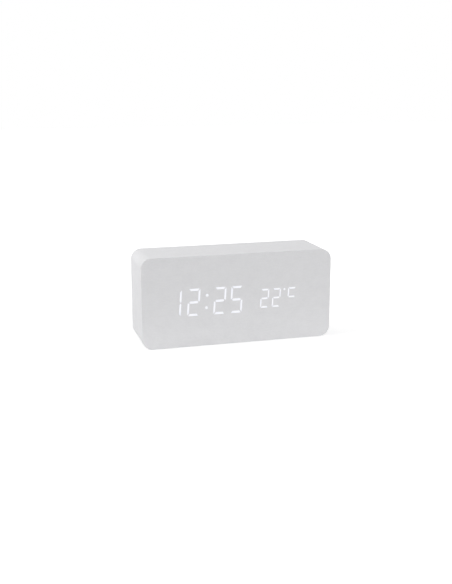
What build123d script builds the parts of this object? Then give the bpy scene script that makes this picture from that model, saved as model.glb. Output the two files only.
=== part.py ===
from build123d import *

import os
from collections import namedtuple
from math import cos, pi, radians, sin, sqrt, tan

# Digital clock: a wooden block covered in white film. A segment display shines through the front,
# and a plastic back panel carries three buttons, a power socket and a hinged battery door.
# Millimetres. +X is right as seen from the front, +Y is towards the back, +Z is up.
# The origin is at the middle of the base. "Across" is along X, "up" is along Z.

# Wooden case and its film
case_width = 150.0
case_height = 70.0
case_depth = 43.5
case_corner_radius = 8.0
film_thickness = 0.3
film_edge_round = 0.2
wall_thickness = 6.0
rim_width = 4.0
web_thickness = 5.0
cavity_corner_radius = 2.0
corner_block_size = 8.0

# Clearances
fit_gap = 0.3
slide_gap = 0.2
pin_gap = 0.05
seat_gap = 0.1

# Segment display, as it reads on the front. The width that the two rows of digits leave over is
# shared out before, between and after them, and places in a row count from its first digit.
spare_before_time = 0.318
spare_before_temperature = 0.282
time_shown = "12:25"
time_digit_places = (0.0, 14.3, 34.7, 47.9)
time_digit_width = 9.35
time_digit_height = 21.1
time_bar_thickness = 1.7
time_post_thickness = 1.3
time_segment_gap = 0.75
time_cap_inset = 0.2
temperature_shown = "22C"
temperature_digit_places = (0.0, 9.5, 22.0)
temperature_digit_width = 6.55
temperature_digit_height = 14.75
temperature_bar_thickness = 1.15
temperature_post_thickness = 0.82
temperature_segment_gap = 0.55
temperature_cap_inset = 0.12
digit_slant = 3.7
display_drop = 0.3
temperature_drop = 0.7
colon_place = 24.5
colon_spacing = 9.7
colon_radius = 1.1
degree_place = 16.1
degree_rise = 6.2
degree_radius = 0.8

# Display module behind the film
display_margin = 3.0
peg_radius = 0.7
peg_length = 0.8
led_length = 1.0
led_width = 0.5
led_height = 0.4
led_headroom = 0.2

# Circuit boards
board_thickness = 1.6
display_board_flange = 4.5
display_board_side = 1.0
control_board_width = 50.0
control_board_height = 36.0
spare_before_board = 0.3
spare_before_bay = 0.3
board_corner_radius = 1.0
board_screw_inset = 3.0
board_screw_radius = 0.9
board_screw_head_radius = 1.9
board_screw_head_height = 1.2
board_screw_length = 5.0
boss_radius = 2.2

# Electronic parts
lead_pitch = 1.27
lead_width = 0.4
lead_thickness = 0.2
lead_reach = 1.2
lead_shoulder = 0.3
chip_width = 7.5
chip_height = 2.3
chip_standoff = 0.1
driver_leads = 14
driver_place = 19.5
processor_leads = 10
processor_place = 53.5
chip_end = 0.7
crystal_radius = 1.5
crystal_length = 8.0
crystal_place = 3.0
crystal_rise = 4.0
capacitor_radius = 2.5
capacitor_height = 7.0
capacitor_place = 15.0
capacitor_pitch = 7.0
capacitor_round = 0.4
resistor_count = 12
resistor_length = 2.0
resistor_width = 1.25
resistor_height = 0.5
resistor_pitch = 4.0
resistor_rise = 9.0
buzzer_radius = 4.5
buzzer_height = 4.5
buzzer_port_radius = 1.0
buzzer_port_depth = 1.0
microphone_radius = 3.0
microphone_height = 2.7
microphone_felt_radius = 2.0
microphone_felt_depth = 0.3
thermistor_radius = 1.2
thermistor_lead_radius = 0.2
thermistor_lead_spacing = 1.2
thermistor_standoff = 4.2

# Buttons and the switches that they press. Places across count from the middle of the control board.
button_places = (13.0, 0.0, -13.0)
button_names = ("down", "up", "set")
button_rise = 9.0
button_radius = 3.5
button_flange_radius = 4.5
button_flange_thickness = 1.0
button_proud = 1.0
button_edge_round = 0.5
button_travel = 0.5
switch_size = 6.0
switch_body_height = 3.5
switch_height = 5.0
switch_floor = 0.8
switch_foot_length = 0.8
switch_foot_width = 1.0
switch_foot_thickness = 0.2
plunger_radius = 1.75

# Power socket, thermistor vent, buzzer grille and microphone port on the back panel
socket_place = 16.0
socket_drop = 8.0
socket_width_top = 7.6
socket_width_bottom = 6.0
socket_height = 2.9
socket_depth = 5.9
socket_wall = 0.3
socket_base_thickness = 1.0
socket_base_margin = 0.5
socket_tongue_width = 4.0
socket_tongue_thickness = 0.6
socket_tongue_inset = 0.8
plug_opening_width = 12.4
plug_opening_height = 8.4
plug_opening_round = 1.5
buzzer_place = 1.0
buzzer_drop = 8.0
grille_ring_radius = 2.6
grille_hole_radius = 0.6
grille_ring_holes = 6
thermistor_place = -14.0
thermistor_drop = 8.0
vent_slots = 4
vent_slot_length = 9.0
vent_slot_width = 1.0
vent_slot_pitch = 2.2
microphone_place = -6.5
microphone_rise = 0.5
microphone_port_radius = 0.75
symbol_size = 2.6
symbol_drop = 6.6
symbol_proud = 0.3
symbol_line = 0.6

# Back panel and its screws
panel_recess = 1.5
panel_thickness = 3.0
panel_corner_radius = 3.4
panel_screw_radius = 1.3
panel_screw_length = 14.0
panel_screw_head_radius = 2.75
panel_screw_head_height = 1.8
screw_head_round = 0.5
screw_cross_length_share = 1.1
screw_cross_width = 0.6
screw_cross_depth = 0.8

# Battery bay: three standard AAA cells, one above the other
cell_diameter = 10.3
cell_length = 44.5
cell_nub_radius = 1.9
cell_nub_length = 0.9
cell_edge_round = 0.4
cell_pitch = 11.0
cell_count = 3
bay_rise = 1.5
bay_wall = 1.5
bay_headroom = 0.9
rib_height = 2.5
rib_width = 1.2
rib_length_share = 0.7
contact_thickness = 0.4
contact_width = 8.0
contact_height = 9.0
contact_tail_width = 2.0
contact_tail_length = 4.0
spring_length = 3.8
spring_coil_radius = 2.5
spring_wire_radius = 0.25
spring_turns = 3

# Battery door
door_thickness = 2.0
door_lap = 2.0
door_corner_radius = 2.0
door_knuckle_radius = 1.4
door_pin_radius = 0.8
door_pin_length = 1.6
hinge_rib_depth = 1.6
hinge_rib_wall = 0.8
catch_width = 10.0
catch_length = 2.0
catch_thickness = 1.2
catch_drop = 0.5
catch_nib = 0.4
grip_ridges = 3
grip_ridge_length = 14.0
grip_ridge_width = 0.8
grip_ridge_height = 0.4
grip_ridge_pitch = 2.0
grip_ridge_inset = 5.0
thumb_notch_radius = 7.0
thumb_notch_reach = 2.2
thumb_notch_depth = 1.4

# Wiring
ribbon_wires = 8
ribbon_pitch = 1.0
ribbon_wire_radius = 0.55
ribbon_low = 12.0
ribbon_high = 12.0
connector_length = 11.0
connector_width = 4.5
connector_depth = 5.0
connector_chamfer = 0.6
battery_connector_length = 6.0
battery_connector_width = 6.5
battery_connector_rise = 10.0
battery_lead_radius = 0.65
battery_lead_pitch = 2.5
battery_lead_standoff = 1.6
wire_bend_share = 0.45

# Depths worked out from the sizes above, from the front to the back
front_y = -case_depth / 2
back_y = case_depth / 2
web_front_y = front_y + film_thickness
web_back_y = web_front_y + web_thickness
core_back_y = back_y - film_thickness
panel_outer_y = back_y - panel_recess
panel_inner_y = panel_outer_y - panel_thickness
display_board_front_y = web_back_y
display_board_back_y = display_board_front_y + board_thickness
flange_back_y = panel_inner_y - seat_gap
button_inner_y = flange_back_y - button_flange_thickness
control_board_back_y = button_inner_y - switch_height
control_board_front_y = control_board_back_y - board_thickness
door_inner_y = panel_outer_y - door_thickness
rebate_y = door_inner_y - slide_gap
cell_y = door_inner_y - bay_headroom - cell_diameter / 2
bay_floor_y = cell_y - cell_diameter / 2 - seat_gap
bay_bottom_y = bay_floor_y - bay_wall
hinge_y = panel_outer_y - door_knuckle_radius

# Heights and places across, worked out the same way
middle_z = case_height / 2
core_width = case_width - 2 * film_thickness
core_height = case_height - 2 * film_thickness
core_radius = case_corner_radius - film_thickness
cavity_width = core_width - 2 * wall_thickness
cavity_height = core_height - 2 * wall_thickness
mouth_width = core_width - 2 * rim_width
mouth_height = core_height - 2 * rim_width
mouth_radius = panel_corner_radius + fit_gap
display_spare_width = case_width - time_digit_places[-1] - temperature_digit_places[-1]
time_x = spare_before_time * display_spare_width - case_width / 2
temperature_x = time_x + time_digit_places[-1] + spare_before_temperature * display_spare_width
driver_x = time_x + driver_place
processor_x = time_x + processor_place
crystal_x = temperature_x + crystal_place
capacitor_x = temperature_x + capacitor_place
display_z = middle_z - display_drop
temperature_z = display_z - temperature_drop
slant = tan(radians(digit_slant))
button_z = middle_z + button_rise
socket_z = middle_z - socket_drop
buzzer_z = middle_z - buzzer_drop
thermistor_z = middle_z - thermistor_drop
microphone_z = middle_z + microphone_rise
bay_length = cell_length + spring_length + 2 * contact_thickness + 2 * seat_gap
bay_height = (cell_count - 1) * cell_pitch + cell_diameter + 2 * fit_gap
bay_z = middle_z + bay_rise
bay_top_z = bay_z + bay_height / 2
bay_low_z = bay_z - bay_height / 2
cell_z = [bay_z + (cell_count - 1) * cell_pitch / 2 - row * cell_pitch for row in range(cell_count)]
inner_spare_width = cavity_width - control_board_width - bay_length - 2 * bay_wall
control_board_left_x = spare_before_board * inner_spare_width - cavity_width / 2
control_board_right_x = control_board_left_x + control_board_width
control_board_x = (control_board_left_x + control_board_right_x) / 2
bay_left_x = control_board_right_x + spare_before_bay * inner_spare_width + bay_wall
bay_right_x = bay_left_x + bay_length
bay_x = (bay_left_x + bay_right_x) / 2
button_x = [control_board_x + place for place in button_places]
socket_x = control_board_x + socket_place
buzzer_x = control_board_x + buzzer_place
thermistor_x = control_board_x + thermistor_place
microphone_x = control_board_x + microphone_place
ribbon_x = control_board_x
door_width = bay_length + 2 * door_lap
door_left_x = bay_x - door_width / 2
door_right_x = bay_x + door_width / 2
door_top_z = bay_top_z + door_lap
thumb_notch_z = door_top_z + fit_gap + thumb_notch_reach - thumb_notch_radius
hinge_z = bay_low_z - bay_wall - door_knuckle_radius - seat_gap
contact_tail_y = bay_bottom_y - contact_tail_length + bay_wall
battery_lead_y = contact_tail_y + battery_lead_standoff
battery_connector_x = control_board_right_x - battery_connector_length - board_screw_inset
battery_connector_z = middle_z + battery_connector_rise - board_screw_inset
lead_entry_y = control_board_front_y - connector_depth / 2

Segment = namedtuple("Segment", "points lit angle")


# Shared shapes


def slab(outline, y_front, y_back):
    """An outline drawn as (x, z), extruded between two depths."""
    plane = Plane(origin=(0, y_back, 0), x_dir=(1, 0, 0), z_dir=(0, -1, 0))
    return extrude(plane * outline, amount=y_back - y_front, dir=(0, -1, 0))


def rod(radius, y_front, y_back, x, z):
    """A round bar along Y."""
    return slab(Pos(x, z) * Circle(radius), y_front, y_back)


def along_x(radius, start_x, end_x, y, z):
    """A round bar along X."""
    return Pos((start_x + end_x) / 2, y, z) * Rot(0, 90, 0) * Cylinder(radius, end_x - start_x)


def bar(x_range, y_range, z_range):
    """A rectangular block between two places on each axis."""
    sizes = [high - low for low, high in (x_range, y_range, z_range)]
    centre = [(low + high) / 2 for low, high in (x_range, y_range, z_range)]
    return Pos(*centre) * Box(*sizes)


def group(shapes):
    """Separate solids that share one node."""
    return Compound([solid for shape in shapes for solid in shape.solids()])


def rounded(width, height, radius, x=0.0, z=middle_z):
    """A rounded rectangle, drawn as (x, z)."""
    return Pos(x, z) * RectangleRounded(width, height, radius)


def corners(half_width, half_height, x=0.0, z=middle_z):
    """The four corners of a rectangle, as (x, z)."""
    return [(x + across * half_width, z + up * half_height) for across in (-1, 1) for up in (-1, 1)]


def screw(radius, length, head_radius, head_height, x, y, z, points_back=False):
    """A round-headed screw with a cross recess. Its head sits on the depth y."""
    head = rod(head_radius, 0, head_height, 0, 0)
    head = fillet(head.faces().sort_by(Axis.Y)[-1].edges(), screw_head_round)
    arm = head_radius * screw_cross_length_share / 2
    half = screw_cross_width / 2
    recess = (head_height - screw_cross_depth, head_height)
    cross = bar((-arm, arm), recess, (-half, half)) + bar((-half, half), recess, (-arm, arm))
    shape = head + rod(radius, -length, 0, 0, 0) - cross
    return Pos(x, y, z) * Rot(0, 0, 180 if points_back else 0) * shape


# Segment display


def segment_outlines(width, height, bar_thickness, post_thickness, gap, cap_inset):
    """The seven segments of an upright digit centred on (0, 0), mitred where they meet.
    The top and bottom bars stop short of the corners by the cap inset."""
    right, top = width / 2, height / 2
    inner = right - post_thickness
    half = bar_thickness / 2
    step = gap * sqrt(0.5)
    short = step + cap_inset
    cap = [(-right + short, top), (right - short, top)]
    cap += [(inner - short, top - bar_thickness), (-inner + short, top - bar_thickness)]
    post = [(right, top - step), (right, step), (right - post_thickness / 2, step)]
    post += [(inner, half + step), (inner, top - bar_thickness - step)]
    centre = [(-right + post_thickness / 2 + step, 0), (-inner + step, half), (inner - step, half)]
    centre += [(-u, -v) for u, v in centre]

    def flipped(points, across, up):
        return [(across * u, up * v) for u, v in points]

    return {
        "a": (cap, 0),
        "b": (post, 90),
        "c": (flipped(post, 1, -1), 90),
        "d": (flipped(cap, 1, -1), 0),
        "e": (flipped(post, -1, -1), 90),
        "f": (flipped(post, -1, 1), 90),
        "g": (centre, 0),
    }


LIT_SEGMENTS = {"1": "bc", "2": "abdeg", "5": "acdfg", "C": "afg"}


def digits(shown, first_x, places, z, *sizes):
    """The segments of each digit in a row, leaning to the right, lit or not."""
    row = []
    for glyph, place in zip(shown, places):
        segments = []
        for name, (points, angle) in segment_outlines(*sizes).items():
            leaning = [(first_x + place + u + v * slant, z + v) for u, v in points]
            lean = digit_slant if angle else 0
            segments.append(Segment(leaning, name in LIT_SEGMENTS[glyph], angle - lean))
        row.append(segments)
    return row


def outline(segment):
    """A segment as a sketch face."""
    return Polygon(*segment.points, align=None)


def middle(segment):
    """The middle of a segment, as (x, z)."""
    count = len(segment.points)
    return sum(u for u, v in segment.points) / count, sum(v for u, v in segment.points) / count


time_sizes = (
    time_digit_width,
    time_digit_height,
    time_bar_thickness,
    time_post_thickness,
    time_segment_gap,
    time_cap_inset,
)
temperature_sizes = (
    temperature_digit_width,
    temperature_digit_height,
    temperature_bar_thickness,
    temperature_post_thickness,
    temperature_segment_gap,
    temperature_cap_inset,
)
time_glyphs = time_shown.replace(":", "")
time_row = digits(time_glyphs, time_x, time_digit_places, display_z, *time_sizes)
temperature_row = digits(
    temperature_shown, temperature_x, temperature_digit_places, temperature_z, *temperature_sizes
)
every_segment = [segment for digit in time_row + temperature_row for segment in digit]
colon_rises = (-colon_spacing / 2, colon_spacing / 2)
colon_spots = [(time_x + colon_place + rise * slant, display_z + rise) for rise in colon_rises]
degree_spot = (temperature_x + degree_place, temperature_z + degree_rise)
colon_outlines = [Pos(*place) * Circle(colon_radius) for place in colon_spots]
degree_outline = Pos(*degree_spot) * Circle(degree_radius)
unlit_outlines = [outline(segment) for segment in every_segment if not segment.lit]
lit_outlines = [outline(segment) for segment in every_segment if segment.lit]
lit_outlines += [*colon_outlines, degree_outline]

display_points = [point for segment in every_segment for point in segment.points]
display_left_x = min(u for u, v in display_points) - display_margin
display_right_x = max(u for u, v in display_points) + display_margin
display_low_z = min(v for u, v in display_points) - display_margin
display_top_z = max(v for u, v in display_points) + display_margin
display_x = (display_left_x + display_right_x) / 2
display_mid_z = (display_low_z + display_top_z) / 2
reflector_width = display_right_x - display_left_x
reflector_height = display_top_z - display_low_z
window_width = reflector_width + 2 * slide_gap
window_height = reflector_height + 2 * slide_gap
display_board_width = window_width + 2 * display_board_side
display_board_height = window_height + 2 * display_board_flange
peg_places = corners(
    (reflector_width - display_margin) / 2,
    (reflector_height - display_margin) / 2,
    display_x,
    display_mid_z,
)
display_screw_places = corners(
    display_board_width / 2 - board_screw_inset,
    (window_height + display_board_flange) / 2,
    display_x,
    display_mid_z,
)
light_back_y = display_board_front_y - led_height - led_headroom


def display_reflector():
    """Moulded block with a light well for each segment, and pegs that stand through its board."""
    face = Pos(display_x, display_mid_z) * Rectangle(reflector_width, reflector_height)
    face -= lit_outlines + unlit_outlines
    block = slab(face, web_front_y, display_board_front_y)
    for x, z in peg_places:
        block += rod(peg_radius, display_board_front_y, display_board_back_y + peg_length, x, z)
    return block


def light_guides(outlines, y_front):
    """Clear fillings of the light wells, from above the diodes to the given depth."""
    return group([slab(face, y_front, light_back_y) for face in outlines])


def segment_leds():
    """One light-emitting diode at the foot of each well."""
    places = [(*middle(segment), segment.angle) for segment in every_segment]
    places += [(x, z, 0) for x, z in [*colon_spots, degree_spot]]
    chip = Rectangle(led_length, led_width)
    depths = (display_board_front_y - led_height, display_board_front_y)
    return group([slab(Pos(x, z) * Rot(0, 0, angle) * chip, *depths) for x, z, angle in places])


def display_board():
    face = rounded(display_board_width, display_board_height, board_corner_radius, display_x, display_mid_z)
    face -= [Pos(x, z) * Circle(peg_radius + pin_gap) for x, z in peg_places]
    face -= [Pos(x, z) * Circle(board_screw_radius + pin_gap) for x, z in display_screw_places]
    return slab(face, display_board_front_y, display_board_back_y)


def display_board_screws():
    sizes = (board_screw_radius, board_screw_length, board_screw_head_radius, board_screw_head_height)
    return group([screw(*sizes, x, display_board_back_y, z) for x, z in display_screw_places])


def chip(x, leads):
    """A gull-wing chip on the back of the display board, with the same number of leads on each side."""
    y = display_board_back_y
    length = (leads - 1) * lead_pitch + 2 * chip_end
    body = slab(Pos(x, display_z) * Rectangle(length, chip_width), y + chip_standoff, y + chip_height)
    for side in (-1, 1):
        foot_z = display_z + side * (chip_width / 2 + lead_reach / 2)
        shoulder_z = display_z + side * chip_width / 2
        feet = GridLocations(lead_pitch, 0, leads, 1) * Rectangle(lead_width, lead_reach)
        shoulders = GridLocations(lead_pitch, 0, leads, 1) * Rectangle(lead_width, 2 * lead_shoulder)
        body += slab(Pos(x, foot_z) * Sketch(feet), y, y + lead_thickness)
        body += slab(Pos(x, shoulder_z) * Sketch(shoulders), y, y + chip_height / 2)
    return body


def clock_crystal():
    """Metal can lying on the board, with its two leads bent down to the pads."""
    y = display_board_back_y
    z = display_z + crystal_rise
    end_x = crystal_x - crystal_length / 2
    can = along_x(crystal_radius, end_x, end_x + crystal_length, y + crystal_radius + lead_thickness, z)
    for side in (-1, 1):
        lead_z = z + side * crystal_radius / 2
        edges = (lead_z - lead_thickness / 2, lead_z + lead_thickness / 2)
        reach_x = end_x - lead_reach
        level = (y + crystal_radius, y + crystal_radius + lead_thickness)
        can += bar((reach_x, end_x + lead_thickness), level, edges)
        can += bar((reach_x, reach_x + lead_thickness), (y, y + crystal_radius), edges)
    return can


def smoothing_capacitors():
    y = display_board_back_y
    shapes = []
    for side in (-1, 1):
        z = display_z + side * capacitor_pitch / 2
        can = rod(capacitor_radius, y, y + capacitor_height, capacitor_x, z)
        shapes.append(fillet(can.faces().sort_by(Axis.Y)[-1].edges(), capacitor_round))
    return group(shapes)


def series_resistors():
    spots = GridLocations(resistor_pitch, 0, resistor_count, 1)
    chips = Sketch(spots * Rectangle(resistor_width, resistor_length))
    row = Pos(display_x, display_z + resistor_rise) * chips
    return group([slab(row, display_board_back_y, display_board_back_y + resistor_height)])


# Wooden case and its film


def case_body():
    """The wooden shell: four walls, a front board with the display window, and a step for the panel."""
    shell = slab(rounded(core_width, core_height, core_radius), web_front_y, core_back_y)
    shell -= slab(rounded(cavity_width, cavity_height, cavity_corner_radius), web_back_y, core_back_y)
    shell -= slab(rounded(mouth_width, mouth_height, mouth_radius), panel_inner_y, core_back_y)
    window = Pos(display_x, display_mid_z) * Rectangle(window_width, window_height)
    shell -= slab(window, web_front_y, web_back_y)
    hole_front_y = display_board_back_y - board_screw_length - seat_gap
    for x, z in display_screw_places:
        shell -= rod(board_screw_radius + pin_gap, hole_front_y, web_back_y, x, z)
    return shell


block_places = corners((cavity_width - corner_block_size) / 2, (cavity_height - corner_block_size) / 2)


def corner_blocks():
    """Wooden posts glued into the corners, which take the panel screws."""
    hole_front_y = panel_outer_y - panel_screw_head_height - panel_screw_length - seat_gap
    shapes = []
    for x, z in block_places:
        post = slab(Pos(x, z) * Rectangle(corner_block_size, corner_block_size), web_back_y, panel_inner_y)
        post = chamfer(post.edges().filter_by(Axis.Y), cavity_corner_radius)
        shapes.append(post - rod(panel_screw_radius + pin_gap, hole_front_y, panel_inner_y, x, z))
    return group(shapes)


def film_band():
    """White film all round the case, from the front film to the back."""
    band = rounded(case_width, case_height, case_corner_radius)
    band -= rounded(core_width, core_height, core_radius)
    film = slab(band, web_front_y, back_y)
    return fillet(film.faces().sort_by(Axis.Y)[-1].outer_wire().edges(), film_edge_round)


def base_strip():
    """The flat part of the band, between the lower corners."""
    half = case_width / 2 - case_corner_radius
    return bar((-half, half), (front_y, back_y), (0, film_thickness))


def front_film():
    """White film over the whole front, open where a lit segment comes through it."""
    face = rounded(case_width, case_height, case_corner_radius) - lit_outlines
    film = slab(face, front_y, web_front_y)
    return fillet(film.faces().sort_by(Axis.Y)[0].outer_wire().edges(), film_edge_round)


def rear_film():
    """White film over the rim round the back panel."""
    rim = rounded(core_width, core_height, core_radius) - rounded(mouth_width, mouth_height, mouth_radius)
    return slab(rim, core_back_y, back_y)


# Back panel


control_corner_places = corners(
    control_board_width / 2 - board_screw_inset,
    control_board_height / 2 - board_screw_inset,
    control_board_x,
)


def battery_bay():
    """The tub for the cells, moulded on the inside of the panel, with ribs between the rows."""
    tub = bar(
        (bay_left_x - bay_wall, bay_right_x + bay_wall),
        (bay_bottom_y, panel_inner_y),
        (bay_low_z - bay_wall, bay_top_z + bay_wall),
    )
    rib_reach = fit_gap + door_pin_length + hinge_rib_wall
    rib_bar = bar(
        (door_left_x - rib_reach, door_right_x + rib_reach),
        (panel_inner_y - hinge_rib_depth, panel_inner_y),
        (hinge_z - door_knuckle_radius - fit_gap - hinge_rib_wall, bay_low_z),
    )
    return tub + rib_bar


def bay_space():
    """What is cut out of the tub: the cells' space, the door's rebate and groove, and the tail slots."""
    space = bar((bay_left_x, bay_right_x), (bay_floor_y, panel_outer_y), (bay_low_z, bay_top_z))
    rebate = (door_left_x - fit_gap, door_right_x + fit_gap)
    space += bar(rebate, (rebate_y, panel_outer_y), (hinge_z, door_top_z + fit_gap))
    groove_radius = door_knuckle_radius + fit_gap
    space += along_x(groove_radius, *rebate, hinge_y, hinge_z)
    space += bar(rebate, (hinge_y, panel_outer_y), (hinge_z - groove_radius, hinge_z))
    pin_reach = (door_left_x - fit_gap - door_pin_length, door_right_x + fit_gap + door_pin_length)
    space += along_x(door_pin_radius + pin_gap, *pin_reach, hinge_y, hinge_z)
    space += rod(thumb_notch_radius, panel_outer_y - thumb_notch_depth, panel_outer_y, bay_x, thumb_notch_z)
    half_x = contact_thickness / 2 + slide_gap
    half_z = contact_tail_width / 2 + slide_gap
    right_tail_x = bay_right_x - contact_thickness / 2
    left_tail_x = bay_left_x + contact_thickness / 2
    for x, z in ((right_tail_x, cell_z[0]), (left_tail_x, cell_z[-1])):
        space += bar((x - half_x, x + half_x), (bay_bottom_y, bay_floor_y), (z - half_z, z + half_z))
    return space


def bay_ribs():
    """Low ribs on the floor of the bay that keep the cells apart."""
    half = bay_length * rib_length_share / 2
    shapes = []
    for upper, lower in zip(cell_z, cell_z[1:]):
        z = (upper + lower) / 2
        edges = (z - rib_width / 2, z + rib_width / 2)
        shapes.append(bar((bay_x - half, bay_x + half), (bay_floor_y, bay_floor_y + rib_height), edges))
    return shapes


def panel_cuts():
    """Sketch of every hole that goes straight through the panel's plate."""
    holes = [Pos(x, button_z) * Circle(button_radius + slide_gap) for x in button_x]
    holes.append(rounded(plug_opening_width, plug_opening_height, plug_opening_round, socket_x, socket_z))
    holes.append(Pos(microphone_x, microphone_z) * Circle(microphone_port_radius))
    holes.append(Pos(buzzer_x, buzzer_z) * Circle(grille_hole_radius))
    for index in range(grille_ring_holes):
        turn = 2 * pi * index / grille_ring_holes
        place = (buzzer_x + grille_ring_radius * cos(turn), buzzer_z + grille_ring_radius * sin(turn))
        holes.append(Pos(*place) * Circle(grille_hole_radius))
    for index in range(vent_slots):
        z = thermistor_z + (index - (vent_slots - 1) / 2) * vent_slot_pitch
        holes.append(Pos(thermistor_x, z) * SlotOverall(vent_slot_length, vent_slot_width))
    return holes


def panel_symbols():
    """Plain marks below the buttons: a triangle down, a triangle up and a ring."""
    z = button_z - symbol_drop
    half = symbol_size / 2
    marks = []
    for x, name in zip(button_x, button_names):
        if name == "set":
            marks.append(Pos(x, z) * (Circle(half) - Circle(half - symbol_line)))
        else:
            up = half if name == "up" else -half
            marks.append(Pos(x, z) * Polygon((-half, -up), (half, -up), (0, up), align=None))
    return [slab(mark, panel_outer_y, panel_outer_y + symbol_proud) for mark in marks]


def back_panel():
    """The plastic panel in the back of the case, with the battery bay and the board bosses."""
    plate = slab(
        rounded(mouth_width - 2 * fit_gap, mouth_height - 2 * fit_gap, panel_corner_radius),
        panel_inner_y,
        panel_outer_y,
    )
    panel = plate + battery_bay() - bay_space()
    panel += bay_ribs()
    for x, z in control_corner_places:
        panel += rod(boss_radius, control_board_back_y, panel_inner_y, x, z)
    screw_back_y = control_board_front_y + board_screw_length + seat_gap
    for x, z in control_corner_places:
        panel -= rod(board_screw_radius + pin_gap, control_board_back_y, screw_back_y, x, z)
    panel -= [slab(hole, panel_inner_y, panel_outer_y) for hole in panel_cuts()]
    for x, z in block_places:
        panel -= rod(panel_screw_radius + slide_gap, panel_inner_y, panel_outer_y, x, z)
        seat_y = panel_outer_y - panel_screw_head_height
        panel -= rod(panel_screw_head_radius + slide_gap, seat_y, panel_outer_y, x, z)
    return panel + panel_symbols()


def panel_screws():
    sizes = (panel_screw_radius, panel_screw_length, panel_screw_head_radius, panel_screw_head_height)
    seat_y = panel_outer_y - panel_screw_head_height
    return group([screw(*sizes, x, seat_y, z) for x, z in block_places])


# Battery door, cells and contacts


def battery_door():
    """The door: a plate on a round knuckle with a pin at each end, grip ridges and a catch."""
    plate = bar((door_left_x, door_right_x), (door_inner_y, panel_outer_y), (hinge_z, door_top_z))
    upper = [edge for edge in plate.edges().filter_by(Axis.Y) if edge.center().Z > bay_z]
    plate = fillet(upper, door_corner_radius)
    plate += along_x(door_knuckle_radius, door_left_x, door_right_x, hinge_y, hinge_z)
    pin_reach = fit_gap + door_pin_length - slide_gap
    plate += along_x(door_pin_radius, door_left_x - pin_reach, door_right_x + pin_reach, hinge_y, hinge_z)
    finger_y = door_inner_y - catch_length
    finger_z = bay_top_z - catch_drop
    half = catch_width / 2
    reach = (bay_x - half, bay_x + half)
    plate += bar(reach, (finger_y, door_inner_y), (finger_z - catch_thickness, finger_z))
    plate += bar(reach, (finger_y, finger_y + catch_length / 2), (finger_z, finger_z + catch_nib))
    for index in range(grip_ridges):
        z = door_top_z - grip_ridge_inset - index * grip_ridge_pitch
        edges = (z - grip_ridge_width / 2, z + grip_ridge_width / 2)
        ridge = (bay_x - grip_ridge_length / 2, bay_x + grip_ridge_length / 2)
        plate += bar(ridge, (panel_outer_y, panel_outer_y + grip_ridge_height), edges)
    return plate


def battery_cell(row):
    """One cell. The rows face alternate ways, so that they are joined in series."""
    nub_end_x = bay_right_x - contact_thickness - seat_gap
    shoulder_x = nub_end_x - cell_nub_length
    tail_x = nub_end_x - cell_length
    can = along_x(cell_diameter / 2, tail_x, shoulder_x, cell_y, cell_z[row])
    can = fillet(can.edges().filter_by(GeomType.CIRCLE), cell_edge_round)
    can += along_x(cell_nub_radius, shoulder_x, nub_end_x, cell_y, cell_z[row])
    if row % 2:
        can = Pos(bay_x, 0, 0) * mirror(Pos(-bay_x, 0, 0) * can, about=Plane.YZ)
    return can


def contact(end, first_row, last_row, tail):
    """A sheet metal contact on an end wall of the bay, over one row or two, with or without a tail."""
    inner_x = bay_right_x - contact_thickness if end > 0 else bay_left_x
    faces = (inner_x, inner_x + contact_thickness)
    low_z = cell_z[last_row] - contact_width / 2
    high_z = cell_z[first_row] + contact_width / 2
    plate = bar(faces, (bay_floor_y, bay_floor_y + contact_height), (low_z, high_z))
    if tail:
        edges = (cell_z[first_row] - contact_tail_width / 2, cell_z[first_row] + contact_tail_width / 2)
        plate += bar(faces, (contact_tail_y, bay_floor_y), edges)
    return plate


def biarc(start, start_way, end, end_way):
    """Two arcs that leave start along start_way, meet smoothly and reach end along end_way."""
    chord = end - start
    ways = start_way + end_way
    slope = 2 * (1 - start_way.dot(end_way))
    reach = (sqrt(chord.dot(ways) ** 2 + slope * chord.dot(chord)) - chord.dot(ways)) / slope
    first, last = start + start_way * reach, end - end_way * reach
    meeting = (first + last) * 0.5
    return [TangentArc(start, meeting, tangent=start_way), TangentArc(meeting, end, tangent=last - first)]


def contact_spring(row):
    """A coil spring between the contact and the flat end of the cell, as one wire."""
    rise = (spring_length - 2 * spring_wire_radius - seat_gap) / spring_turns
    start_x = bay_left_x + contact_thickness + spring_wire_radius
    quarters = 4 * spring_turns

    def point(step):
        turn = step * pi / 2
        y = cell_y + spring_coil_radius * cos(turn)
        z = cell_z[row] + spring_coil_radius * sin(turn)
        return Vector(start_x + rise * step / 4, y, z)

    def way(step):
        turn = step * pi / 2
        around = spring_coil_radius * 2 * pi
        return Vector(rise, -around * sin(turn), around * cos(turn)).normalized()

    arcs = []
    for step in range(quarters):
        arcs += biarc(point(step), way(step), point(step + 1), way(step + 1))
    path = Wire(arcs)
    coil = sweep(Plane(origin=point(0), z_dir=way(0)) * Circle(spring_wire_radius), path=path)
    if row % 2:
        coil = Pos(bay_x, 0, 0) * mirror(Pos(-bay_x, 0, 0) * coil, about=Plane.YZ)
    return coil


spring_gap = (spring_length - 2 * spring_wire_radius - seat_gap) / spring_turns - 2 * spring_wire_radius


# Control board, buttons and sockets


def control_board():
    face = rounded(control_board_width, control_board_height, board_corner_radius, control_board_x)
    face -= [Pos(x, z) * Circle(board_screw_radius + pin_gap) for x, z in control_corner_places]
    return slab(face, control_board_front_y, control_board_back_y)


def control_board_screws():
    sizes = (board_screw_radius, board_screw_length, board_screw_head_radius, board_screw_head_height)
    depth = control_board_front_y
    return group([screw(*sizes, x, depth, z, points_back=True) for x, z in control_corner_places])


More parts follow.
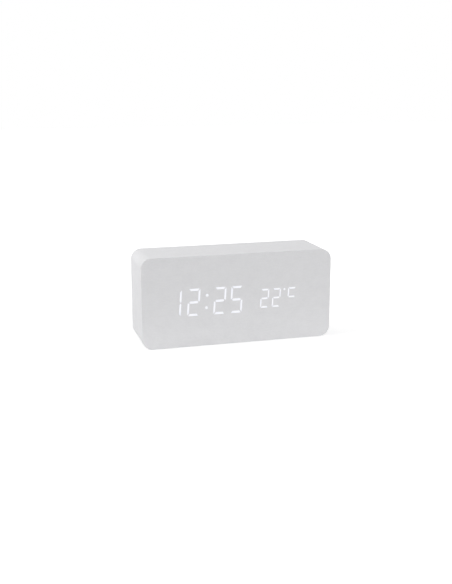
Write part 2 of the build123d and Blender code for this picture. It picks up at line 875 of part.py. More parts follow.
def button(x):
    """A round button, kept in the panel by its flange."""
    cap = rod(button_radius, button_inner_y, panel_outer_y + button_proud, x, button_z)
    cap = fillet(cap.faces().sort_by(Axis.Y)[-1].edges(), button_edge_round)
    return cap + rod(button_flange_radius, button_inner_y, flange_back_y, x, button_z)


def switch(x):
    """The fixed body of a push switch, with a well for its plunger and four feet."""
    y = control_board_back_y
    body = slab(Pos(x, button_z) * Rectangle(switch_size, switch_size), y, y + switch_body_height)
    body -= rod(plunger_radius + pin_gap, y + switch_floor, y + switch_body_height, x, button_z)
    half = switch_size / 2
    for across in (-1, 1):
        for up in (-1, 1):
            foot_x = x + across * (half + switch_foot_length / 2)
            foot_z = button_z + up * (half - switch_foot_width)
            foot = Pos(foot_x, foot_z) * Rectangle(switch_foot_length, switch_foot_width)
            body += slab(foot, y, y + switch_foot_thickness)
    return body


def plunger(x):
    """The moving stem of a push switch. It follows its button."""
    stem_front_y = control_board_back_y + switch_floor + button_travel + seat_gap
    return rod(plunger_radius, stem_front_y, button_inner_y, x, button_z)


def socket_outline():
    """The outer shape of the power socket's mouth, wider at the top."""
    top, bottom, half = socket_width_top / 2, socket_width_bottom / 2, socket_height / 2
    lower = [(-top, 0), (-bottom, -half), (bottom, -half), (top, 0)]
    return Pos(socket_x, socket_z) * Polygon(*lower, (top, half), (-top, half), align=None)


socket_base_y = control_board_back_y + socket_base_thickness


def power_socket_shell():
    ring = socket_outline() - offset(socket_outline(), amount=-socket_wall)
    return slab(ring, socket_base_y, control_board_back_y + socket_depth)


def power_socket_tongue():
    base = Pos(socket_x, socket_z) * Rectangle(
        socket_width_top + 2 * socket_base_margin, socket_height + 2 * socket_base_margin
    )
    tongue = Pos(socket_x, socket_z) * Rectangle(socket_tongue_width, socket_tongue_thickness)
    tip_y = control_board_back_y + socket_depth - socket_tongue_inset
    return slab(base, control_board_back_y, socket_base_y) + slab(tongue, socket_base_y, tip_y)


def buzzer():
    top_y = control_board_back_y + buzzer_height
    can = rod(buzzer_radius, control_board_back_y, top_y, buzzer_x, buzzer_z)
    return can - rod(buzzer_port_radius, top_y - buzzer_port_depth, top_y, buzzer_x, buzzer_z)


def microphone():
    top_y = control_board_back_y + microphone_height
    can = rod(microphone_radius, control_board_back_y, top_y, microphone_x, microphone_z)
    return can - rod(microphone_felt_radius, top_y - microphone_felt_depth, top_y, microphone_x, microphone_z)


def thermistor():
    """Temperature sensor: a bead held up to the vent on two leads."""
    y = control_board_back_y
    bead = Pos(thermistor_x, y + thermistor_standoff, thermistor_z) * Sphere(thermistor_radius)
    for side in (-1, 1):
        x = thermistor_x + side * thermistor_lead_spacing / 2
        bead += rod(thermistor_lead_radius, y, y + thermistor_standoff, x, thermistor_z)
    return bead


# Wiring


ribbon_low_z = middle_z - ribbon_low
ribbon_high_z = middle_z + ribbon_high - board_screw_inset
ribbon_front_y = display_board_back_y + connector_depth
ribbon_back_y = control_board_front_y - connector_depth


def wire_path(name, points):
    """Straight runs joined by arcs, each as wide as its two runs allow."""
    places = [Vector(*point) for point in points]
    runs = [end - start for start, end in zip(places, places[1:])]
    radii = []
    for before, after in zip(runs, runs[1:]):
        turn = radians(before.get_angle(after))
        radii.append(wire_bend_share * min(before.length, after.length) / tan(turn / 2))
    print(name, "bend radii", [round(radius, 1) for radius in radii], "mm")
    return FilletPolyline(*points, radius=radii)


def connector(x, z, y_front, y_back):
    """A ribbon connector that stands on a board."""
    body = slab(Pos(x, z) * Rectangle(connector_length, connector_width), y_front, y_back)
    return chamfer(body.edges().filter_by(Axis.Y), connector_chamfer)


def ribbon_cable():
    """Flat cable between the two boards, bent once up and once back."""
    bend_y = (ribbon_front_y + ribbon_back_y) / 2
    points = [
        (ribbon_x, ribbon_front_y, ribbon_low_z),
        (ribbon_x, bend_y, ribbon_low_z),
        (ribbon_x, bend_y, ribbon_high_z),
        (ribbon_x, ribbon_back_y, ribbon_high_z),
    ]
    spots = GridLocations(ribbon_pitch, 0, ribbon_wires, 1)
    profile = Sketch() + [spot * Circle(ribbon_wire_radius) for spot in spots]
    start = Plane(origin=points[0], x_dir=(1, 0, 0), z_dir=(0, 1, 0))
    return sweep(start * profile, path=wire_path("ribbon cable", points))


def battery_connector():
    """The connector that takes both battery leads from the side."""
    half = battery_connector_width / 2
    body = bar(
        (battery_connector_x, battery_connector_x + battery_connector_length),
        (control_board_front_y - connector_depth, control_board_front_y),
        (battery_connector_z - half, battery_connector_z + half),
    )
    return chamfer(body.edges().filter_by(Axis.Y), connector_chamfer)


def lead(name, points):
    """A round insulated wire through the given points, bent between straight runs."""
    path = wire_path(name, points)
    tube = sweep(Plane(origin=points[0], z_dir=path.tangent_at(0)) * Circle(battery_lead_radius), path=path)
    section = pi * battery_lead_radius**2
    print(name, "volume over section times length", round(tube.volume / section / path.length, 4))
    return tube


lead_entry_x = battery_connector_x + battery_connector_length
lead_turn_x = (lead_entry_x + bay_left_x - bay_wall) / 2


def positive_lead():
    z = cell_z[0]
    entry_z = battery_connector_z + battery_lead_pitch / 2
    return lead(
        "positive lead",
        [
            (bay_right_x - contact_thickness, battery_lead_y, z),
            (bay_left_x - bay_wall, battery_lead_y, z),
            (lead_turn_x, lead_entry_y, entry_z),
            (lead_entry_x, lead_entry_y, entry_z),
        ],
    )


def negative_lead():
    z = cell_z[-1]
    entry_z = battery_connector_z - battery_lead_pitch / 2
    return lead(
        "negative lead",
        [
            (bay_left_x, battery_lead_y, z),
            (lead_turn_x, battery_lead_y, z),
            (lead_turn_x, lead_entry_y, entry_z),
            (lead_entry_x, lead_entry_y, entry_z),
        ],
    )


# The assembly, one entry for each node


parts = {
    "case_body": case_body(),
    "corner_blocks": corner_blocks(),
    "wrap_film": film_band() - base_strip(),
    "base_film": film_band() & base_strip(),
    "front_film": front_film(),
    "rear_film": rear_film(),
    "display_reflector": display_reflector(),
    "colon_dots": light_guides(colon_outlines, front_y),
    "degree_dot": light_guides([degree_outline], front_y),
    "unlit_segments": light_guides(unlit_outlines, web_front_y),
    "segment_leds": segment_leds(),
    "display_board": display_board(),
    "display_board_screws": display_board_screws(),
    "display_driver_chip": chip(driver_x, driver_leads),
    "processor_chip": chip(processor_x, processor_leads),
    "clock_crystal": clock_crystal(),
    "smoothing_capacitors": smoothing_capacitors(),
    "series_resistors": series_resistors(),
    "display_connector": connector(ribbon_x, ribbon_low_z, display_board_back_y, ribbon_front_y),
    "ribbon_cable": ribbon_cable(),
    "control_connector": connector(ribbon_x, ribbon_high_z, ribbon_back_y, control_board_front_y),
    "control_board": control_board(),
    "control_board_screws": control_board_screws(),
    "power_socket_shell": power_socket_shell(),
    "power_socket_tongue": power_socket_tongue(),
    "buzzer": buzzer(),
    "microphone": microphone(),
    "thermistor": thermistor(),
    "back_panel": back_panel(),
    "panel_screws": panel_screws(),
    "battery_door": battery_door(),
    "positive_contact": contact(1, 0, 0, True),
    "negative_contact": contact(-1, cell_count - 1, cell_count - 1, True),
    "link_contacts": group([contact(-1, 0, 1, False), contact(1, 1, 2, False)]),
    "contact_springs": group([contact_spring(row) for row in range(cell_count)]),
    "battery_connector": battery_connector(),
    "positive_lead": positive_lead(),
    "negative_lead": negative_lead(),
}
for prefix, row in (("time_digit", time_row), ("temperature_digit", temperature_row)):
    for count, digit in enumerate(row, start=1):
        lit = [outline(segment) for segment in digit if segment.lit]
        parts[f"{prefix}_{count}"] = light_guides(lit, front_y)
for name, x in zip(button_names, button_x):
    parts[name + "_button"] = button(x)
    parts[name + "_switch"] = switch(x)
    parts[name + "_plunger"] = plunger(x)
for row in range(cell_count):
    parts[f"battery_cell_{row + 1}"] = battery_cell(row)

print("least gap between the turns of a contact spring", round(spring_gap, 2), "mm")
os.makedirs("parts", exist_ok=True)
for name, shape in parts.items():
    export_step(shape, f"parts/{name}.step")
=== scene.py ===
"""Looks of a digital clock: a wooden block in white film, with a segment display that shines through.

Metres, in the same frame as the solids: +X is right as seen from the front, +Y is towards the back,
+Z is up, and the origin is at the middle of the base. A node's object coordinates are places in
that frame, so a material can follow the part's own places.
"""

import math

import bpy
from mathutils import Matrix, Vector


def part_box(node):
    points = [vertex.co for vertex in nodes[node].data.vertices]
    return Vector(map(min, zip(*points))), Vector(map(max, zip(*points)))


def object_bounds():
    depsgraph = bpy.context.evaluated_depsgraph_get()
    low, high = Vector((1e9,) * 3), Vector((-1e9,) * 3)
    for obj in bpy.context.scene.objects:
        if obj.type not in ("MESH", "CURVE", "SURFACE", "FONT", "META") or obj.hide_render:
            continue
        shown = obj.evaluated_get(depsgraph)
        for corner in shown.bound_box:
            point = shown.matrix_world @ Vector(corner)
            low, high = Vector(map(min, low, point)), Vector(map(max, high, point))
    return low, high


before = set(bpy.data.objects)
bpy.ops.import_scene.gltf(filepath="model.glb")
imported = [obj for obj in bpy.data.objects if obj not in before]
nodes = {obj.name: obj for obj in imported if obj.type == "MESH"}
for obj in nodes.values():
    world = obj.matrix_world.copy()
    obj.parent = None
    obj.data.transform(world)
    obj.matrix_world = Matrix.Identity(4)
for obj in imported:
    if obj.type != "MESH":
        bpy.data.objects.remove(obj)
cad_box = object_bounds()

MM = 0.001
WHITE = (1.0, 1.0, 1.0)
NOISE_RANGE = (0.3, 0.7)
PLASTIC_IOR = 1.5


def grey(level, tint=0.0):
    """A near-neutral colour; a tint above 0 is cooler and below 0 is warmer."""
    return (level * (1 - tint), level, level * (1 + tint))


def middle_of(node):
    low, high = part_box(node)
    return (low + high) / 2


class Recipe:
    """One material: a Principled shader and the nodes that feed it."""

    def __init__(self, name, **values):
        self.material = bpy.data.materials.new(name)
        self.material.use_nodes = True
        self.tree = self.material.node_tree
        self.shader = self.tree.nodes["Principled BSDF"]
        for socket, value in values.items():
            self.set(socket, value)
        self.spot = self.add("ShaderNodeTexCoord", "Object")
        axes = self.tree.nodes.new("ShaderNodeSeparateXYZ")
        self.tree.links.new(self.spot, axes.inputs[0])
        self.x, self.y, self.z = axes.outputs

    def put(self, socket, value):
        """Links a socket to another node's output, or gives it a fixed value."""
        if isinstance(value, bpy.types.NodeSocket):
            self.tree.links.new(value, socket)
        elif isinstance(value, tuple) and socket.type == "RGBA":
            socket.default_value = (*value, 1.0)
        else:
            socket.default_value = value

    def set(self, socket, value):
        """Sets a socket of the shader: base_color is its Base Color."""
        names = {"ior": "IOR", "specular_level": "Specular IOR Level"}
        self.put(self.shader.inputs[names.get(socket, socket.replace("_", " ").title())], value)

    def add(self, kind, output=0, settings=(), **inputs):
        """The chosen output of a new node, whose inputs are given by name."""
        node = self.tree.nodes.new(kind)
        for name, value in dict(settings).items():
            setattr(node, name, value)
        for name, value in inputs.items():
            self.put(node.inputs[name], value)
        return node.outputs[output]

    def step(self, kind, operation, values):
        """The first output of a new arithmetic node, whose inputs are given in order."""
        node = self.tree.nodes.new(kind)
        node.operation = operation
        for socket, value in zip(node.inputs, values):
            self.put(socket, value)
        return node.outputs[0]

    def sum(self, operation, *values):
        return self.step("ShaderNodeMath", operation, values)

    def offset(self, vector, origin):
        return self.step("ShaderNodeVectorMath", "SUBTRACT", (vector, origin))

    def length(self, vector):
        return self.add("ShaderNodeVectorMath", "Value", {"operation": "LENGTH"}, Vector=vector)

    def stretched(self, factors):
        return self.add("ShaderNodeMapping", Vector=self.spot, Scale=factors)

    def noise(self, size, detail=2.0, stretch=None):
        """Soft noise with patches about size across, and longer along an axis with a small factor."""
        vector = self.stretched(stretch) if stretch else self.spot
        return self.add("ShaderNodeTexNoise", "Fac", Vector=vector, Scale=1 / size, Detail=detail)

    def specks(self, size):
        """Distance to the nearest of many scattered points, about size apart."""
        return self.add("ShaderNodeTexVoronoi", "Distance", Vector=self.spot, Scale=1 / size)

    def between(self, value, low, high):
        """1 where value lies between the two limits, and 0 elsewhere."""
        above = self.sum("GREATER_THAN", value, low)
        return self.sum("MULTIPLY", above, self.sum("LESS_THAN", value, high))

    def spread(self, value, low, high, source=NOISE_RANGE):
        """A noise's usual range turned into the range from low to high."""
        ends = dict(zip(("From Min", "From Max", "To Min", "To Max"), (*source, low, high)))
        return self.add("ShaderNodeMapRange", Value=value, **ends)

    def mix(self, factor, first, second):
        """The first colour where factor is 0 and the second where it is 1."""
        node = self.tree.nodes.new("ShaderNodeMix")
        node.data_type = "RGBA"
        colours = [socket for socket in node.inputs if socket.type == "RGBA"]
        for socket, value in zip((node.inputs[0], *colours), (factor, first, second)):
            self.put(socket, value)
        return next(socket for socket in node.outputs if socket.type == "RGBA")

    def blend(self, noise, first, second):
        """A colour that drifts between two colours with a noise."""
        return self.mix(self.spread(noise, low=0.0, high=1.0), first, second)

    def mottled(self, noise, first, second):
        """Base colour that drifts between two colours with a noise."""
        colour = self.blend(noise, first, second)
        self.set("base_color", colour)
        return colour

    def rough(self, noise, low, high):
        self.set("roughness", self.spread(noise, low, high))

    def bump(self, height, depth):
        """Surface relief; depth is how far a full step of the height stands up."""
        self.set("normal", self.add("ShaderNodeBump", Height=height, Distance=depth))


# Materials that show from outside

NICKEL = (0.66, 0.65, 0.62)
SHELL_METAL = (0.68, 0.67, 0.65)
CONTACT_METAL = (0.72, 0.71, 0.68)
STEEL, RIM_STEEL = (0.62, 0.61, 0.58), (0.70, 0.69, 0.66)
GOLD = (0.85, 0.62, 0.25)


def film():
    """Satin white foil over the block, with a faint grain along its length."""
    m = Recipe("white_film", ior=1.46, specular_level=0.3)
    darker, lighter = (0.772, 0.772, 0.786), (0.828, 0.828, 0.842)
    cloud_share, mottle_share, grain_share = 0.4, 0.3, 0.3
    cloud = m.noise(7 * MM, detail=3.0)
    mottle = m.noise(1.7 * MM)
    grain = m.noise(0.5 * MM, detail=3.0, stretch=(0.15, 1.0, 1.0))
    tooth = m.noise(0.22 * MM)
    broad = m.sum("ADD", m.sum("MULTIPLY", cloud, cloud_share), m.sum("MULTIPLY", mottle, mottle_share))
    m.mottled(m.sum("ADD", broad, m.sum("MULTIPLY", grain, grain_share)), darker, lighter)
    m.rough(tooth, low=0.60, high=0.74)
    m.bump(m.sum("ADD", grain, tooth), depth=0.006 * MM)
    return m.material


def wood_fibre():
    """Fibreboard, sealed white where the rim shows round the back panel."""
    m = Recipe("wood_fibre")
    fibre = m.noise(0.6 * MM, detail=5.0, stretch=(0.3, 1.0, 1.0))
    raw = m.blend(fibre, (0.36, 0.25, 0.15), (0.52, 0.39, 0.26))
    sealed = m.blend(fibre, grey(0.70), grey(0.76))
    panel_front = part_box("battery_door")[0].y
    m.set("base_color", m.mix(m.sum("GREATER_THAN", m.y, panel_front), raw, sealed))
    m.rough(fibre, low=0.7, high=0.9)
    m.bump(fibre, depth=0.03 * MM)
    return m.material


def lit_segment(name, strength):
    """Light guide with its lamp on, a little whiter in patches."""
    m = Recipe(name, base_color=grey(0.15), roughness=0.5, emission_strength=strength)
    glow = m.noise(2.5 * MM, detail=1.0)
    m.set("emission_color", m.blend(glow, (0.90, 0.915, 1.0), (0.945, 0.95, 1.0)))
    m.bump(m.noise(0.4 * MM), depth=0.004 * MM)
    return m.material


def black_plastic(name, inked_from=None):
    """Spark-textured moulded plastic, with pale ink on what stands out beyond inked_from."""
    m = Recipe(name, ior=PLASTIC_IOR, specular_level=0.35)
    pits = m.noise(0.32 * MM, detail=3.0)
    flow = m.noise(14 * MM)
    plastic = m.mottled(flow, grey(0.013, tint=0.02), grey(0.020, tint=0.02))
    if inked_from is not None:
        ink = m.blend(pits, grey(0.52), grey(0.64))
        m.set("base_color", m.mix(m.sum("GREATER_THAN", m.y, inked_from), plastic, ink))
    m.rough(pits, low=0.42, high=0.6)
    m.bump(pits, depth=0.03 * MM)
    return m.material


def button():
    """Smoother plastic cap, polished by fingers towards its middle."""
    m = Recipe("button", ior=PLASTIC_IOR)
    face_middle = (0.5, 1.0, 0.5)
    worn_reach = (0.05, 0.4)
    off_middle = m.length(m.offset(m.add("ShaderNodeTexCoord", "Generated"), face_middle))
    haze = m.noise(0.5 * MM, detail=3.0)
    m.mottled(haze, grey(0.030, tint=0.02), grey(0.040, tint=0.02))
    worn = m.spread(off_middle, low=0.24, high=0.42, source=worn_reach)
    m.set("roughness", m.sum("ADD", worn, m.spread(haze, low=-0.03, high=0.05)))
    m.bump(haze, depth=0.008 * MM)
    return m.material


def metal(name, colour, roughness, patch, stretch=None):
    """Plated metal with uneven polish."""
    m = Recipe(name, metallic=1.0)
    dull_share = 0.9
    smoother, rougher = 0.08, 0.1
    polish = m.noise(patch, detail=4.0, stretch=stretch)
    m.mottled(polish, tuple(dull_share * part for part in colour), colour)
    m.rough(polish, low=roughness - smoother, high=roughness + rougher)
    m.bump(polish, depth=0.004 * MM)
    return m.material


def socket_tongue():
    """Black insert with a row of gold pads on the tongue."""
    m = Recipe("socket_tongue")
    low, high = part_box("power_socket_tongue")
    pad_pitch, pad_share, pad_length = 0.65 * MM, 0.55, 3.0 * MM
    tongue_z, tongue_half = (low.z + high.z) / 2, 0.5 * MM
    along = m.sum("FRACT", m.sum("DIVIDE", m.x, pad_pitch))
    on_tongue = m.between(m.z, tongue_z - tongue_half, tongue_z + tongue_half)
    in_front = m.sum("GREATER_THAN", m.y, high.y - pad_length)
    in_row = m.sum("LESS_THAN", along, pad_share)
    pad = m.sum("MULTIPLY", in_row, m.sum("MULTIPLY", on_tongue, in_front))
    haze = m.noise(0.3 * MM, detail=3.0)
    body = m.blend(haze, grey(0.015), grey(0.025))
    m.set("base_color", m.mix(pad, body, GOLD))
    m.set("metallic", pad)
    m.rough(haze, low=0.35, high=0.5)
    m.bump(haze, depth=0.006 * MM)
    return m.material


def cell_jacket(node, positive_side):
    """Plain grey sleeve with a darker band near the positive end, and bare steel at both ends."""
    m = Recipe(node + "_jacket", ior=PLASTIC_IOR)
    low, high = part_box(node)
    length = high.x - low.x
    nub, crimp, band = 0.9 * MM, 1.3 * MM, 11.0 * MM
    rim_width, ridge_width = 0.25 * MM, 0.5 * MM
    bare_shoulder, bare_foot = 0.05 * MM, 0.35 * MM
    ink_relief = 0.1
    if positive_side > 0:
        from_positive = m.sum("SUBTRACT", high.x, m.x)
    else:
        from_positive = m.sum("SUBTRACT", m.x, low.x)
    ink = m.noise(2.5 * MM)
    sleeve = m.blend(ink, grey(0.40, tint=0.01), grey(0.43, tint=0.01))
    darker = m.blend(ink, grey(0.06, tint=0.03), grey(0.07, tint=0.03))
    banded = m.mix(m.sum("LESS_THAN", from_positive, band), sleeve, darker)
    printed = m.between(from_positive, nub + bare_shoulder, length - bare_foot)
    rim = m.sum("LESS_THAN", from_positive, nub + rim_width)
    steel = m.mix(rim, STEEL, RIM_STEEL)
    m.set("base_color", m.mix(printed, steel, banded))
    m.set("metallic", m.sum("SUBTRACT", 1.0, printed))
    m.rough(ink, low=0.22, high=0.36)
    ridge = m.between(from_positive, crimp, crimp + ridge_width)
    m.bump(m.sum("SUBTRACT", m.sum("MULTIPLY", ink, ink_relief), ridge), depth=0.05 * MM)
    return m.material


# Materials behind the back panel

CAN_METAL = (0.64, 0.63, 0.60)
ALUMINIUM = grey(0.75)
TINNED_LEAD = grey(0.66, tint=-0.02)


def moulding(name, first, second, roughness):
    """Plain moulded or cast piece with uneven colour and polish."""
    m = Recipe(name)
    smoother, rougher = 0.06, 0.1
    cloud = m.noise(0.8 * MM, detail=4.0)
    m.mottled(cloud, first, second)
    m.rough(cloud, low=roughness - smoother, high=roughness + rougher)
    m.bump(cloud, depth=0.01 * MM)
    return m.material


def circuit_board():
    """Green mask over copper runs that jog here and there, with a weave under it."""
    m = Recipe("circuit_board", ior=PLASTIC_IOR)
    run_pitch, run_share = 1.27 * MM, 0.35
    jog_levels, jog_share = 8.0, 0.5
    weave_relief = 0.3
    run_green = (0.05, 0.24, 0.10)
    wander = m.noise(9 * MM, detail=1.0)
    jogs = m.sum("ROUND", m.sum("MULTIPLY", wander, jog_levels))
    lane = m.sum("ADD", m.sum("DIVIDE", m.z, run_pitch), m.sum("MULTIPLY", jogs, jog_share))
    run = m.sum("LESS_THAN", m.sum("FRACT", lane), run_share)
    weave = m.noise(0.4 * MM)
    mask = m.blend(weave, (0.012, 0.10, 0.045), (0.02, 0.13, 0.06))
    m.set("base_color", m.mix(run, mask, run_green))
    m.rough(weave, low=0.28, high=0.42)
    m.bump(m.sum("ADD", run, m.sum("MULTIPLY", weave, weave_relief)), depth=0.03 * MM)
    return m.material


def leaded(name, node, half_body):
    """Black part with bright metal beyond half_body from its middle line."""
    m = Recipe(name, ior=PLASTIC_IOR)
    off_middle = m.sum("ABSOLUTE", m.sum("SUBTRACT", m.z, middle_of(node).z))
    bare = m.sum("GREATER_THAN", off_middle, half_body)
    grain = m.noise(0.25 * MM, detail=3.0)
    body = m.blend(grain, grey(0.012), grey(0.022))
    m.set("base_color", m.mix(bare, body, TINNED_LEAD))
    m.set("metallic", bare)
    m.rough(grain, low=0.35, high=0.6)
    m.bump(grain, depth=0.01 * MM)
    return m.material


def capacitor_sleeve():
    """Dark sleeve with a pale stripe, and a bare aluminium top."""
    m = Recipe("capacitor_sleeve", ior=PLASTIC_IOR)
    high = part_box("smoothing_capacitors")[1]
    bare_depth, stripe_width = 0.15 * MM, 0.5 * MM
    top = m.sum("GREATER_THAN", m.y, high.y - bare_depth)
    stripe = m.sum("GREATER_THAN", m.x, high.x - stripe_width)
    print_grain = m.noise(0.5 * MM, detail=3.0)
    dark = m.blend(print_grain, (0.012, 0.016, 0.035), (0.02, 0.026, 0.05))
    sleeve = m.mix(stripe, dark, grey(0.55))
    m.set("base_color", m.mix(top, sleeve, ALUMINIUM))
    m.set("metallic", top)
    m.rough(print_grain, low=0.25, high=0.4)
    m.bump(print_grain, depth=0.006 * MM)
    return m.material


def ribbon():
    """Grey flat cable whose first wire is red."""
    m = Recipe("ribbon", ior=PLASTIC_IOR)
    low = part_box("ribbon_cable")[0]
    wire_width = 1.05 * MM
    red = (0.45, 0.03, 0.025)
    first = m.sum("LESS_THAN", m.x, low.x + wire_width)
    haze = m.noise(0.8 * MM, detail=3.0)
    plain = m.blend(haze, grey(0.36, tint=0.01), grey(0.42, tint=0.01))
    m.set("base_color", m.mix(first, plain, red))
    m.rough(haze, low=0.38, high=0.5)
    m.bump(haze, depth=0.01 * MM)
    return m.material


def led_chip():
    """White package with spots of yellow phosphor."""
    m = Recipe("led_chip", ior=PLASTIC_IOR)
    spot_spacing, spot_share = 0.5 * MM, 0.35
    package = m.sum("GREATER_THAN", m.specks(spot_spacing), spot_share)
    grain = m.noise(0.12 * MM)
    phosphor = m.blend(grain, (0.80, 0.62, 0.12), (0.86, 0.70, 0.20))
    m.set("base_color", m.mix(package, phosphor, grey(0.8)))
    m.rough(grain, low=0.35, high=0.5)
    m.bump(grain, depth=0.005 * MM)
    return m.material


def sensor():
    """Epoxy bead on bare leads."""
    m = Recipe("sensor", ior=PLASTIC_IOR)
    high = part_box("thermistor")[1]
    bead_length = 2.6 * MM
    bare = m.sum("LESS_THAN", m.y, high.y - bead_length)
    haze = m.noise(0.4 * MM, detail=3.0)
    bead = m.blend(haze, grey(0.014), grey(0.03))
    m.set("base_color", m.mix(bare, bead, TINNED_LEAD))
    m.set("metallic", bare)
    m.rough(haze, low=0.18, high=0.3)
    m.bump(haze, depth=0.02 * MM)
    return m.material


CHIP_HALF_BODY = 3.75 * MM
RESISTOR_HALF_BODY = 0.7 * MM
SYMBOL_FACE = 0.1 * MM
TIME_GLOW, TEMPERATURE_GLOW = 0.86, 0.92
BUTTONS = ("set", "up", "down")
POSITIVE_SIDES = {"battery_cell_1": 1, "battery_cell_2": -1, "battery_cell_3": 1}

LOOKS = (
    (film(), ["wrap_film", "base_film", "front_film", "rear_film"]),
    (wood_fibre(), ["case_body", "corner_blocks"]),
    (lit_segment("lit_time", TIME_GLOW),
     ["colon_dots", *(f"time_digit_{place}" for place in (1, 2, 3, 4))]),
    (lit_segment("lit_temperature", TEMPERATURE_GLOW),
     ["degree_dot", *(f"temperature_digit_{place}" for place in (1, 2, 3))]),
    (black_plastic("black_plastic"), ["battery_door"]),
    (black_plastic("marked_plastic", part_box("back_panel")[1].y - SYMBOL_FACE), ["back_panel"]),
    (button(), [f"{name}_button" for name in BUTTONS]),
    (metal("screw", NICKEL, roughness=0.28, patch=0.5 * MM),
     ["panel_screws", "control_board_screws", "display_board_screws"]),
    (metal("socket_shell", SHELL_METAL, roughness=0.25, patch=0.5 * MM, stretch=(0.2, 1.0, 1.0)),
     ["power_socket_shell"]),
    (socket_tongue(), ["power_socket_tongue"]),
    *((cell_jacket(cell, side), [cell]) for cell, side in POSITIVE_SIDES.items()),
    (metal("contact", CONTACT_METAL, roughness=0.26, patch=0.6 * MM),
     ["positive_contact", "negative_contact", "link_contacts", "contact_springs"]),
    (moulding("unlit_segment", grey(0.50), grey(0.58), roughness=0.4), ["unlit_segments"]),
    (moulding("reflector", grey(0.78), grey(0.84), roughness=0.45), ["display_reflector"]),
    (led_chip(), ["segment_leds"]),
    (circuit_board(), ["display_board", "control_board"]),
    (leaded("chip", "processor_chip", CHIP_HALF_BODY), ["processor_chip", "display_driver_chip"]),
    (leaded("resistor", "series_resistors", RESISTOR_HALF_BODY), ["series_resistors"]),
    (metal("crystal_can", CAN_METAL, roughness=0.3, patch=0.7 * MM), ["clock_crystal", "microphone"]),
    (capacitor_sleeve(), ["smoothing_capacitors"]),
    (moulding("connector", (0.70, 0.66, 0.56), (0.76, 0.73, 0.64), roughness=0.5),
     ["display_connector", "control_connector", "battery_connector"]),
    (ribbon(), ["ribbon_cable"]),
    (moulding("red_wire", (0.42, 0.02, 0.016), (0.50, 0.035, 0.03), roughness=0.4), ["positive_lead"]),
    (moulding("black_wire", grey(0.016), grey(0.026), roughness=0.42), ["negative_lead"]),
    (moulding("switch", grey(0.022), grey(0.036), roughness=0.42),
     ["buzzer", *(f"{name}_{piece}" for name in BUTTONS for piece in ("switch", "plunger"))]),
    (sensor(), ["thermistor"]),
)
for material, names in LOOKS:
    for name in names:
        for slot in nodes[name].material_slots:
            slot.material = material


# Floor, light and camera

FLOOR_SIZE = 6.0
FLOOR_COLOUR = grey(0.80)
# Painted light on the floor: the strength of its glow, seen only directly, near the object and further
# away
NEAR_PAINTED_GLOW, FAR_PAINTED_GLOW = 0.45, 0.85
PAINTED_GLOW_REACH = (0.15, 0.8)
SKY_LEVEL = 0.34
LAMPS = (
    # name, place, side, power
    ("left", (-1.2, 0.1, 1.0), 0.8, 8.0),
    ("front", (0.5, -1.4, 0.6), 1.0, 8.2),
    ("right", (1.2, 0.6, 0.7), 1.0, 4.6),
    ("rear", (-0.55, 1.2, 0.45), 1.0, 5.4),
    ("overhead", (-0.3, 0.2, 1.6), 1.0, 2.0),
)
APRON_SIZE = (0.22, 0.04)
APRON_POWER = 0.0065
APRON_LIFT = 0.1 * MM


def seen_directly(tree):
    """1 for a ray that shows the background: from the camera, off a glossy surface or through glass."""
    rays = tree.nodes.new("ShaderNodeLightPath")
    total = rays.outputs["Is Camera Ray"]
    for name in ("Is Glossy Ray", "Is Transmission Ray"):
        either = tree.nodes.new("ShaderNodeMath")
        either.operation = "MAXIMUM"
        tree.links.new(total, either.inputs[0])
        tree.links.new(rays.outputs[name], either.inputs[1])
        total = either.outputs[0]
    return total


def make_floor():
    """Pale floor that reads as white further away and still takes the object's shadow. The white is a
    painted glow, seen only directly, that is weaker near the object and stronger further away.
    """
    half = FLOOR_SIZE / 2
    corners = [(-half, -half, 0), (half, -half, 0), (half, half, 0), (-half, half, 0)]
    mesh = bpy.data.meshes.new("floor")
    mesh.from_pydata(corners, [], [(0, 1, 2, 3)])
    floor = bpy.data.objects.new("floor", mesh)
    bpy.context.scene.collection.objects.link(floor)
    m = Recipe("floor", roughness=0.9, specular_level=0.0, base_color=FLOOR_COLOUR, emission_color=WHITE)
    # Painted light: a glow seen only directly, dimmer near the object and brighter further away
    glow = m.spread(m.length(m.spot), low=NEAR_PAINTED_GLOW, high=FAR_PAINTED_GLOW, source=PAINTED_GLOW_REACH)
    m.set("emission_strength", m.sum("MULTIPLY", seen_directly(m.tree), glow))
    mesh.materials.append(m.material)


def make_sky():
    """Even grey light all round, seen as white."""
    world = bpy.data.worlds.new("studio")
    world.use_nodes = True
    tree = world.node_tree
    background = tree.nodes["Background"]
    background.inputs["Color"].default_value = (*WHITE, 1.0)
    level = tree.nodes.new("ShaderNodeMapRange")
    level.inputs["To Min"].default_value = SKY_LEVEL
    level.inputs["To Max"].default_value = 1.0
    tree.links.new(seen_directly(tree), level.inputs["Value"])
    tree.links.new(level.outputs["Result"], background.inputs["Strength"])
    bpy.context.scene.world = world


def make_lamp(name, place, aim, size, power):
    """Square softbox that faces aim."""
    data = bpy.data.lights.new(name, "AREA")
    data.shape = "SQUARE"
    data.size = size
    data.energy = power
    lamp = bpy.data.objects.new(name, data)
    lamp.location = place
    lamp.rotation_euler = (Vector(aim) - Vector(place)).to_track_quat("-Z", "Y").to_euler()
    bpy.context.scene.collection.objects.link(lamp)


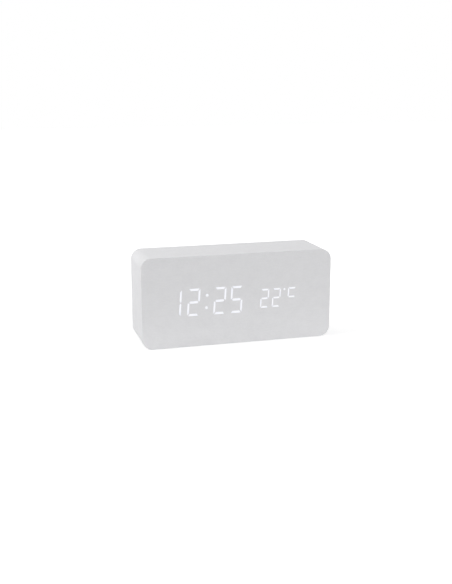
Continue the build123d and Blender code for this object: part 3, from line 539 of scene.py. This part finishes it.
def make_apron():
    """Glow of the table just in front of the object, where the object shades it."""
    data = bpy.data.lights.new("apron", "AREA")
    data.shape = "RECTANGLE"
    data.size, data.size_y = APRON_SIZE
    data.energy = APRON_POWER
    apron = bpy.data.objects.new("apron", data)
    apron.location = (0.0, cad_box[0].y - APRON_SIZE[1] / 2, APRON_LIFT)
    apron.rotation_euler = (math.pi, 0.0, 0.0)
    apron.visible_camera = False
    bpy.context.scene.collection.objects.link(apron)


OBJECT_MIDDLE = Vector((0.0, 0.0, 35 * MM))
CAMERA_TURN = math.radians(-15.636)
CAMERA_RISE = math.radians(13.563)
CAMERA_ROLL = math.radians(-0.133)
CAMERA_DISTANCE = 700.0 * MM
CAMERA_ASIDE = -3.74 * MM
CAMERA_ABOVE = 0.35 * MM
CLIP_START = 10 * MM
FOCAL_PIXELS = 888.9
IMAGE_HEIGHT = 584
SENSOR_WIDTH = 36.0


def make_camera():
    """Camera of the photograph, turned and raised about the object's middle and then shifted a little."""
    back = Vector((math.sin(CAMERA_TURN) * math.cos(CAMERA_RISE),
                   -math.cos(CAMERA_TURN) * math.cos(CAMERA_RISE),
                   math.sin(CAMERA_RISE)))
    level = Vector((math.cos(CAMERA_TURN), math.sin(CAMERA_TURN), 0.0))
    upright = back.cross(level)
    right = level * math.cos(CAMERA_ROLL) + upright * math.sin(CAMERA_ROLL)
    up = upright * math.cos(CAMERA_ROLL) - level * math.sin(CAMERA_ROLL)
    data = bpy.data.cameras.new("camera")
    data.sensor_width = SENSOR_WIDTH
    data.lens = FOCAL_PIXELS / IMAGE_HEIGHT * SENSOR_WIDTH
    data.clip_start = CLIP_START
    camera = bpy.data.objects.new("camera", data)
    turn = Matrix((right, up, back)).transposed().to_4x4()
    place = OBJECT_MIDDLE + back * CAMERA_DISTANCE + right * CAMERA_ASIDE + up * CAMERA_ABOVE
    camera.matrix_world = Matrix.Translation(place) @ turn
    bpy.context.scene.collection.objects.link(camera)
    bpy.context.scene.camera = camera


make_floor()
make_sky()
for name, place, side, power in LAMPS:
    make_lamp(name, place, OBJECT_MIDDLE, side, power)
make_apron()
make_camera()
bpy.context.scene.view_settings.view_transform = "Standard"
